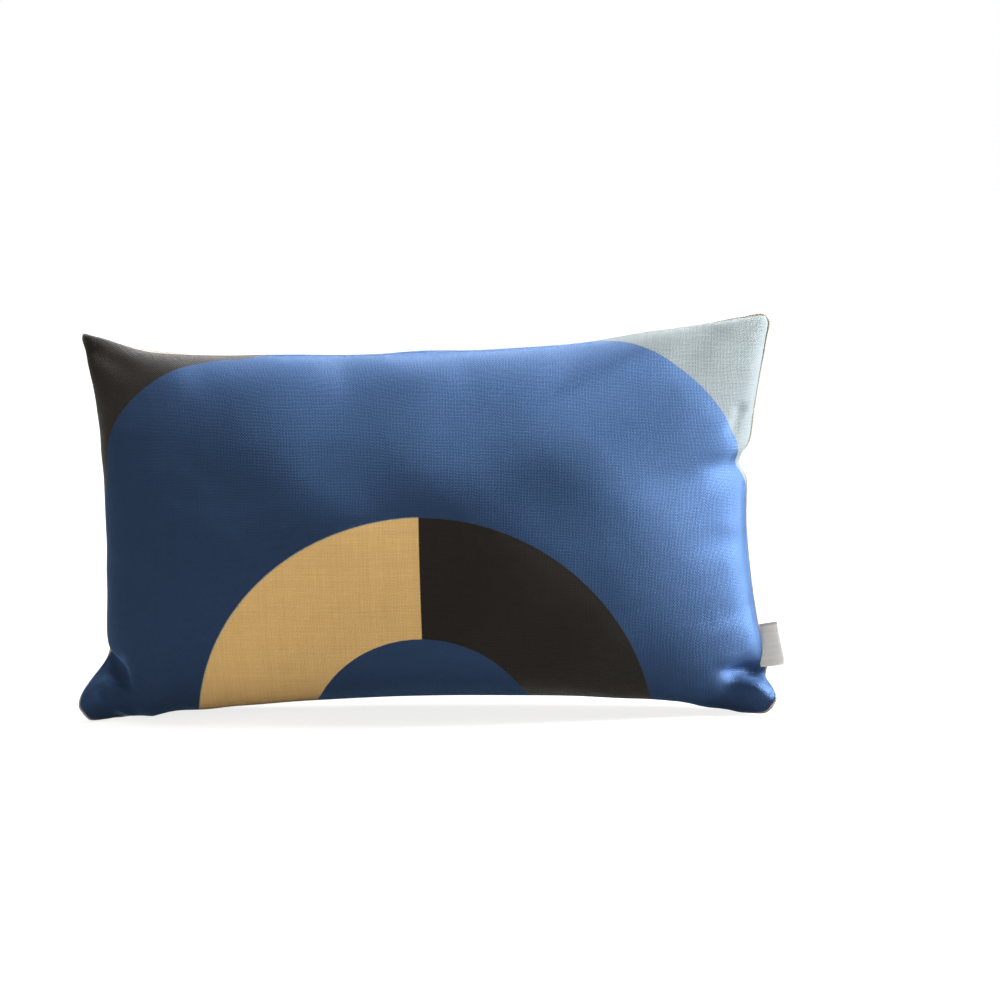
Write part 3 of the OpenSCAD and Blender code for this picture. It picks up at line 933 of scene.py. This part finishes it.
def filling(name):
    """The fibre: both halves of the form joined round the rim."""
    rows, cols = FORM_ROWS, FORM_COLS
    halves = [form_grid(side, 20.0, 11.0, 6.5) for side in (FRONT, BACK)]
    halves[FRONT][:, :, 1] -= 0.02
    count = rows * cols
    faces = grid_quads(rows, cols) + grid_quads(rows, cols, count, True)
    faces += ring_quads(rim_indices(rows, cols), rim_indices(rows, cols, count), True)
    return add_mesh(name, np.concatenate([h.reshape(-1, 3) for h in halves]), faces, MAT_FIBRE)


fibre = filling("fibre_fill")
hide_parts("fibre_filling")


# ---------------------------------------------------------------- seams
def band(name, outer, inner, thick, closed):
    """A flat band of stitching between two lines of points."""
    half = np.array([0, thick / 2, 0])
    n = len(outer)
    loops = [outer - half, outer + half, inner + half, inner - half]
    faces = [(e * n + q, e * n + (q + 1) % n, (e + 1) % 4 * n + (q + 1) % n, (e + 1) % 4 * n + q)
             for q in range(n if closed else n - 1) for e in range(4)]
    if not closed:
        faces.append((0, n, 2 * n, 3 * n))
        faces.append((n - 1, 4 * n - 1, 3 * n - 1, 2 * n - 1))
    return add_mesh(name, np.concatenate(loops), faces, MAT_THREAD)


def seam_line(deep, keep):
    """The kept part of the seam between the panels, deep millimetres of cloth inside it."""
    k = np.flatnonzero(keep)
    start = np.flatnonzero(np.diff(k) > 1)
    if len(start):
        k = np.roll(k, -(start[0] + 1))
    return ((at_depth(FRONT, deep) + at_depth(BACK, deep)) / 2)[k]


sewn = ~((rim_j == 0) & (np.abs(rim_x) < ZIP_HALF + 10))
overlock = band("cover_overlock", seam_line(1.8, sewn), seam_line(1.8 + 3.2, sewn), 0.8, False)
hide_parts("cover_seam_overlock")

form_rim = rim_indices(FORM_ROWS, FORM_COLS)
outer, inner = (form_grid(FRONT, inset, 60.0, 5.0).reshape(-1, 3)[form_rim]
                for inset in (15.4, 17.6))
insert_lock = band("insert_overlock", outer, inner, 0.8, True)
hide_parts("insert_seam_overlock")


# ---------------------------------------------------------------- side label
def tube_faces(rows, cols):
    """Quads of a grid whose columns close on themselves."""
    out = []
    for r in range(rows - 1):
        for a in range(cols):
            b = (a + 1) % cols
            out.append((r * cols + a, r * cols + b, (r + 1) * cols + b, (r + 1) * cols + a))
    return out


def folded_label(name):
    """A ribbon folded in half with its ends in the side seam, a little curled."""
    rim = (fine[FRONT][:, -1] + fine[BACK][:, -1]) / 2
    low_half = slice(0, ROWS // 2)
    stations = np.linspace(32.0, 61.5, 16)
    rows = len(stations)
    base = np.stack([np.interp(stations, rim[low_half, 2], rim[low_half, k]) for k in (0, 1)], -1)
    base = np.stack([np.linspace(base[0, k], base[-1, k], rows) for k in (0, 1)], -1)
    # Half of the fold, seen from above: how far out of the seam, and half the gap inside.
    out = np.array([-4.5, 0.0, 3.0, 6.0, 9.0, 11.5, 12.8, 13.35])
    gap = np.array([0.18, 0.22, 0.55, 0.80, 0.85, 0.75, 0.58, 0.32])
    front_line = np.stack([out, -gap], -1)
    loop = np.concatenate([front_line, front_line[::-1] * (1, -1)])
    tang = np.gradient(loop, axis=0)
    side_dir = np.stack([-tang[:, 1], tang[:, 0]], -1)
    side_dir /= np.linalg.norm(side_dir, axis=1, keepdims=True)
    inner = loop + 0.28 * side_dir
    ribbon = np.concatenate([loop, inner[::-1]])
    lengths = np.concatenate([[0], np.cumsum(np.linalg.norm(np.diff(loop, axis=0), axis=1))])
    lengths = np.concatenate([lengths, lengths[::-1]])
    points, uv = [], []
    shown = np.maximum(ribbon[:, 0], 0)
    for k, z in enumerate(stations):
        u = k / (rows - 1)
        curl = (0.9 * (u - 0.5) * shown / 13
                + 0.5 * np.sin(ribbon[:, 0] / 13 * math.pi) * (u - 0.3))
        points.append(np.stack([base[k, 0] + ribbon[:, 0], base[k, 1] + ribbon[:, 1] + curl,
                                z + 0.13 * shown], -1))
        uv.append(np.stack([lengths, np.full(len(ribbon), z)], -1))
    n = len(ribbon)
    faces = tube_faces(rows, n)
    half = n // 2
    for row, flip in ((0, False), (rows - 1, True)):
        for q in range(half - 1):
            face = (row * n + q, row * n + n - 1 - q, row * n + n - 2 - q, row * n + q + 1)
            faces.append(face if flip else face[::-1])
    return add_mesh(name, np.concatenate(points), faces, MAT_RIBBON, np.concatenate(uv))


label = folded_label("side_label_ribbon")
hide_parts("side_label")


# ---------------------------------------------------------------- zip coils
def coil(name, side):
    """A nylon filament wound along the edge of its tape, teeth towards the other half."""
    turns, per_turn, sides = 240, 9, 5
    count = turns * per_turn + 1
    a = np.linspace(0, turns * 2 * math.pi, count)
    x = np.linspace(-172.6, 172.6, count) + (0.36 if side else 0.0)
    reach, rise, wire = 0.78, 0.58, 0.3
    y = SEAM_Y + SIGN[side] * (1.76 - reach * np.cos(a))
    z = 16.62 + rise * np.sin(a)
    line = np.stack([x, y, z], -1)
    tangent = np.gradient(line, axis=0)
    tangent /= np.linalg.norm(tangent, axis=1, keepdims=True)
    n1 = np.cross(tangent, (1.0, 0.0, 0.0))
    n1 /= np.linalg.norm(n1, axis=1, keepdims=True)
    n2 = np.cross(tangent, n1)
    w = np.arange(sides) * 2 * math.pi / sides
    round_wire = (np.cos(w)[None, :, None] * n1[:, None] + np.sin(w)[None, :, None] * n2[:, None])
    pts = line[:, None] + wire * round_wire
    faces = tube_faces(count, sides)
    last = (count - 1) * sides
    faces += [tuple(range(sides)), tuple(last + k for k in reversed(range(sides)))]
    return add_mesh(name, pts.reshape(-1, 3), faces, MAT_COIL)


coils = [coil("zip_coil_front_wound", FRONT), coil("zip_coil_back_wound", BACK)]
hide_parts("zip_coil_front")
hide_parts("zip_coil_back")

# ---------------------------------------------------------------- CAD pieces that stay
KEPT = {
    "zip_tape_front": MAT_TAPE, "zip_tape_back": MAT_TAPE, "zip_top_stops": MAT_METAL,
    "zip_bottom_stop": MAT_METAL, "zip_slider": MAT_ENAMEL, "zip_pull": MAT_ENAMEL,
    "care_label": MAT_CARE,
}
for ob in list(bpy.context.scene.objects):
    for node, material in KEPT.items():
        if ob.get("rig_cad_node") == node:
            for slot in ob.material_slots:
                slot.material = material

for ob in (front, back, insert_front, insert_back, fibre, overlock, insert_lock, label, *coils):
    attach(ob, "cushion")

# ---------------------------------------------------------------- floor, light, camera
def stage_material():
    """A plain pale floor that the camera sees brighter than the cushion's underside does."""
    m = Nodes("floor")
    path = m.tree.nodes.new("ShaderNodeLightPath")
    seen_by_eye = path.outputs["Is Camera Ray"]
    at = m.node("ShaderNodeTexCoord").outputs["Object"]
    away = m.node("ShaderNodeVectorMath", i_0=at)
    away.operation = "LENGTH"
    pale = m.ramp(seen_by_eye, 0.0, 1.0, 0.2, 0.34)
    grey = m.node("ShaderNodeCombineColor", Red=pale, Green=pale, Blue=pale)
    m.put(m.shader.inputs["Base Color"], grey.outputs[0])
    m.shader.inputs["Roughness"].default_value = 0.95
    glow = m.tree.nodes.new("ShaderNodeEmission")
    m.put(glow.inputs[1], m.ramp(away.outputs["Value"], 0.45, 1.6, 0.80, 1.0))
    add = m.tree.nodes.new("ShaderNodeAddShader")
    seen = m.tree.nodes.new("ShaderNodeMixShader")
    m.tree.links.new(seen_by_eye, seen.inputs[0])
    m.tree.links.new(m.shader.outputs[0], add.inputs[0])
    m.tree.links.new(glow.outputs[0], add.inputs[1])
    m.tree.links.new(m.shader.outputs[0], seen.inputs[1])
    m.tree.links.new(add.outputs[0], seen.inputs[2])
    m.tree.links.new(seen.outputs[0], m.output.inputs[0])
    return m.material


me = bpy.data.meshes.new("floor")
me.from_pydata([(-20, -20, 0), (20, -20, 0), (20, 20, 0), (-20, 20, 0)], [], [(0, 1, 2, 3)])
floor = bpy.data.objects.new("floor", me)
bpy.context.scene.collection.objects.link(floor)
me.materials.append(stage_material())

world = bpy.data.worlds.new("studio")
bpy.context.scene.world = world
world.use_nodes = True
wt = world.node_tree
dim = wt.nodes["Background"]
dim.inputs[0].default_value = (1.0, 0.94, 0.84, 1)
dim.inputs[1].default_value = 0.05
bright = wt.nodes.new("ShaderNodeBackground")
bright.inputs[0].default_value = (1, 1, 1, 1)
bright.inputs[1].default_value = 1.0
pick = wt.nodes.new("ShaderNodeMixShader")
path = wt.nodes.new("ShaderNodeLightPath")
wt.links.new(path.outputs["Is Camera Ray"], pick.inputs[0])
wt.links.new(dim.outputs[0], pick.inputs[1])
wt.links.new(bright.outputs[0], pick.inputs[2])
wt.links.new(pick.outputs[0], wt.nodes["World Output"].inputs[0])
bpy.context.scene.view_settings.view_transform = "Standard"


def area_light(name, at, target, size, power, colour=(1, 1, 1)):
    data = bpy.data.lights.new(name, "AREA")
    data.shape, data.size, data.energy, data.color = "DISK", size, power, colour
    ob = bpy.data.objects.new(name, data)
    ob.location = at
    ob.rotation_euler = (Vector(target) - Vector(at)).to_track_quat("-Z", "Y").to_euler()
    bpy.context.scene.collection.objects.link(ob)
    return ob


area_light("window_low", (1.66, 0.16, 0.39), (0, 0, 0.14), 0.7, 39)
area_light("window_high", (1.5, 0.12, 1.02), (0, 0, 0.14), 0.6, 42)
area_light("top", (0.0, 0.0, 1.84), (0, 0, 0.14), 0.9, 19)
area_light("rear", (0.3, 1.3, 1.5), (0, 0, 0.14), 0.9, 24)
fill = area_light("front", (-1.1, -1.7, 0.5), (0, 0, 0.12), 1.0, 24, (1.0, 0.92, 0.74))
fill.visible_glossy = False

AZ, EL, ROLL, DIST = 4.0, 9.0, -1.3, 2.5
SHIFT_X, SHIFT_Y = 0.075, 0.027
FRAME_WIDTH = 1 / 1.396      # how much is in view at the cushion's distance (m)
a, e = math.radians(AZ), math.radians(EL)
away = Vector((math.sin(a) * math.cos(e), -math.cos(a) * math.cos(e), math.sin(e)))
cam_data = bpy.data.cameras.new("camera")
cam = bpy.data.objects.new("camera", cam_data)
bpy.context.scene.collection.objects.link(cam)
bpy.context.scene.camera = cam
cam.location = Vector((0, 0, 0.135)) + away * DIST
cam.rotation_mode = "QUATERNION"
cam.rotation_quaternion = ((-away).to_track_quat("-Z", "Y")
                           @ Quaternion((0, 0, 1), math.radians(ROLL)))
cam_data.sensor_width = 36
cam_data.lens = 36 * DIST / FRAME_WIDTH
cam_data.shift_x, cam_data.shift_y = SHIFT_X, SHIFT_Y
